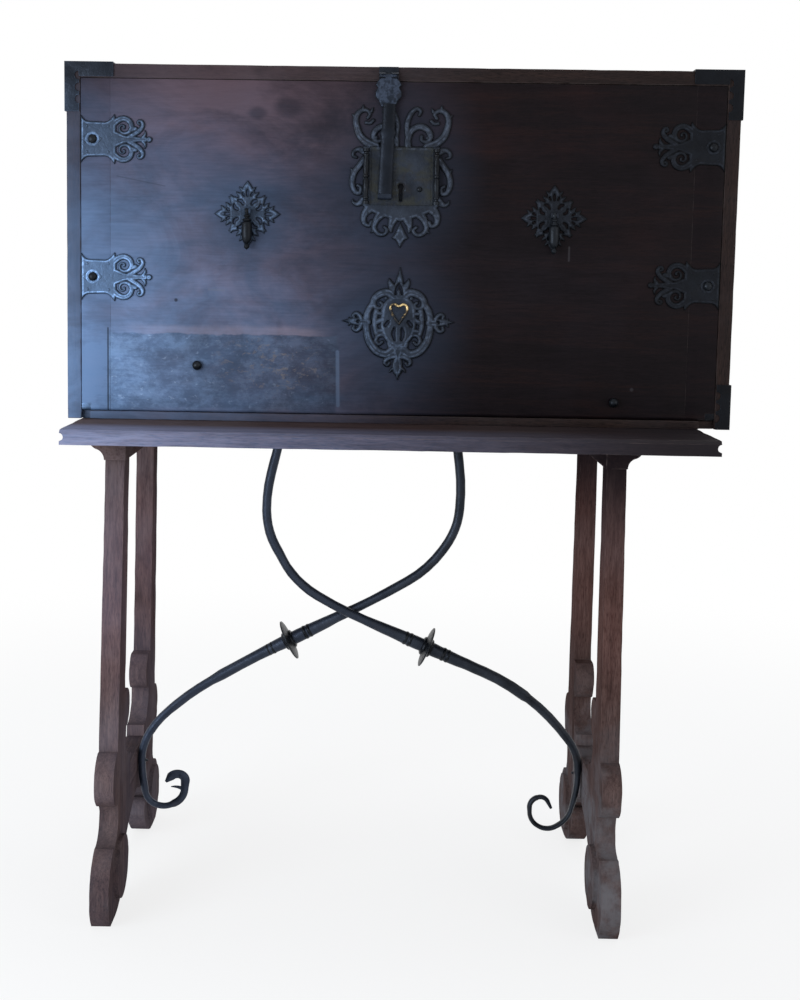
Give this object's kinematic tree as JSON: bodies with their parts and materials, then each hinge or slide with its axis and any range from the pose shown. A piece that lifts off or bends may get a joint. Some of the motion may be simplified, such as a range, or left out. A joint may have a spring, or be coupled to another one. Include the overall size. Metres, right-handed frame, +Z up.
{
  "type": "drop_front_writing_chest",
  "caption": "Drop-front writing chest of dark walnut with pierced iron mounts, a hasp lock and drawers inside, standing on a lyre-legged trestle table with crossed forged braces",
  "frame": {"origin": "on the floor, under the middle of the chest's width and of the table's depth", "axes": "+X to the right seen from the front, +Y to the back, +Z up"},
  "size_m": [1.086, 0.636, 1.3585],
  "materials": {
    "chest_walnut": "old waxed walnut, dark red-brown, worn bluish where it is rubbed",
    "nest_walnut": "waxed walnut, less worn, behind the front",
    "stand_walnut": "dry greyish walnut with worn edges",
    "wrought_iron": "forged iron, blackened and waxed",
    "gilt_iron": "worn gilding on iron"
  },
  "bodies": {
    "case": {"back_board": "chest_walnut", "batten_left": "stand_walnut", "batten_right": "stand_walnut", "bottom_board": "chest_walnut", "brace_collars": "wrought_iron", "brace_left": "wrought_iron", "brace_lugs": "wrought_iron", "brace_nails": "wrought_iron", "brace_right": "wrought_iron", "corner_irons": "wrought_iron", "handle_plate_left": "wrought_iron", "handle_plate_right": "wrought_iron", "leg_back_left": "stand_walnut", "leg_back_right": "stand_walnut", "leg_front_left": "stand_walnut", "leg_front_right": "stand_walnut", "lid_leaf": "wrought_iron", "nest_partitions": "nest_walnut", "nest_shelves": "nest_walnut", "pivot_pins": "wrought_iron", "rail_left": "stand_walnut", "rail_right": "stand_walnut", "side_board_left": "chest_walnut", "side_board_right": "chest_walnut", "table_top": "stand_walnut", "top_board": "chest_walnut"},
    "fall_front": {"front_panel": "chest_walnut", "front_cleat_left": "chest_walnut", "front_cleat_right": "chest_walnut", "pivot_shoes": "wrought_iron", "lock_case": "wrought_iron", "lock_plate": "wrought_iron", "lock_columns": "wrought_iron", "medallion_plate": "wrought_iron", "medallion_shell": "gilt_iron", "plate_nails": "wrought_iron", "front_studs": "wrought_iron", "pull_staples": "wrought_iron", "strap_upper_left": "wrought_iron", "strap_upper_right": "wrought_iron", "strap_lower_left": "wrought_iron", "strap_lower_right": "wrought_iron", "diamond_plate_left": "wrought_iron", "diamond_plate_right": "wrought_iron"},
    "hasp_body": {"hasp": "wrought_iron"},
    "drop_pull_left": {"pull_left": "wrought_iron"},
    "side_handle_left": {"handle_left": "wrought_iron"},
    "drop_pull_right": {"pull_right": "wrought_iron"},
    "side_handle_right": {"handle_right": "wrought_iron"},
    "slide_left_1": {"drawer_left_1": "nest_walnut"},
    "slide_left_2": {"drawer_left_2": "nest_walnut"},
    "slide_left_3": {"drawer_left_3": "nest_walnut"},
    "slide_middle_1": {"drawer_middle_1": "nest_walnut"},
    "slide_middle_2": {"drawer_middle_2": "nest_walnut"},
    "slide_middle_3": {"drawer_middle_3": "nest_walnut"},
    "slide_right_1": {"drawer_right_1": "nest_walnut"},
    "slide_right_2": {"drawer_right_2": "nest_walnut"},
    "slide_right_3": {"drawer_right_3": "nest_walnut"}
  },
  "joints": [
    {"name": "front_hinge", "type": "hinge", "parent": "case", "child": "fall_front", "pos_m": [0, -0.137, 0.8188], "axis": [1, 0, 0], "range_deg": [0, 90]},
    {"name": "hasp_hinge", "type": "hinge", "parent": "fall_front", "child": "hasp_body", "pos_m": [-0.022, -0.149, 1.342], "axis": [-1, 0, 0], "range_deg": [0, 190]},
    {"name": "pull_hinge_left", "type": "hinge", "parent": "fall_front", "child": "drop_pull_left", "pos_m": [-0.24005, -0.1535, 1.13143], "axis": [-1, 0, 0], "range_deg": [0, 170]},
    {"name": "pull_hinge_right", "type": "hinge", "parent": "fall_front", "child": "drop_pull_right", "pos_m": [0.24005, -0.1535, 1.13143], "axis": [-1, 0, 0], "range_deg": [0, 170]},
    {"name": "handle_hinge_left", "type": "hinge", "parent": "case", "child": "side_handle_left", "pos_m": [-0.536, 0.068, 1.13026], "axis": [0, 1, 0], "range_deg": [0, 180]},
    {"name": "handle_hinge_right", "type": "hinge", "parent": "case", "child": "side_handle_right", "pos_m": [0.536, 0.068, 1.13026], "axis": [0, -1, 0], "range_deg": [0, 180]},
    {"name": "slide_left_1_runner", "type": "slide", "parent": "case", "child": "slide_left_1", "axis": [0, -1, 0], "range_m": [0, 0.016]},
    {"name": "slide_left_2_runner", "type": "slide", "parent": "case", "child": "slide_left_2", "axis": [0, -1, 0], "range_m": [0, 0.016]},
    {"name": "slide_left_3_runner", "type": "slide", "parent": "case", "child": "slide_left_3", "axis": [0, -1, 0], "range_m": [0, 0.016]},
    {"name": "slide_middle_1_runner", "type": "slide", "parent": "case", "child": "slide_middle_1", "axis": [0, -1, 0], "range_m": [0, 0.016]},
    {"name": "slide_middle_2_runner", "type": "slide", "parent": "case", "child": "slide_middle_2", "axis": [0, -1, 0], "range_m": [0, 0.016]},
    {"name": "slide_middle_3_runner", "type": "slide", "parent": "case", "child": "slide_middle_3", "axis": [0, -1, 0], "range_m": [0, 0.016]},
    {"name": "slide_right_1_runner", "type": "slide", "parent": "case", "child": "slide_right_1", "axis": [0, -1, 0], "range_m": [0, 0.016]},
    {"name": "slide_right_2_runner", "type": "slide", "parent": "case", "child": "slide_right_2", "axis": [0, -1, 0], "range_m": [0, 0.016]},
    {"name": "slide_right_3_runner", "type": "slide", "parent": "case", "child": "slide_right_3", "axis": [0, -1, 0], "range_m": [0, 0.016]}
  ]
}
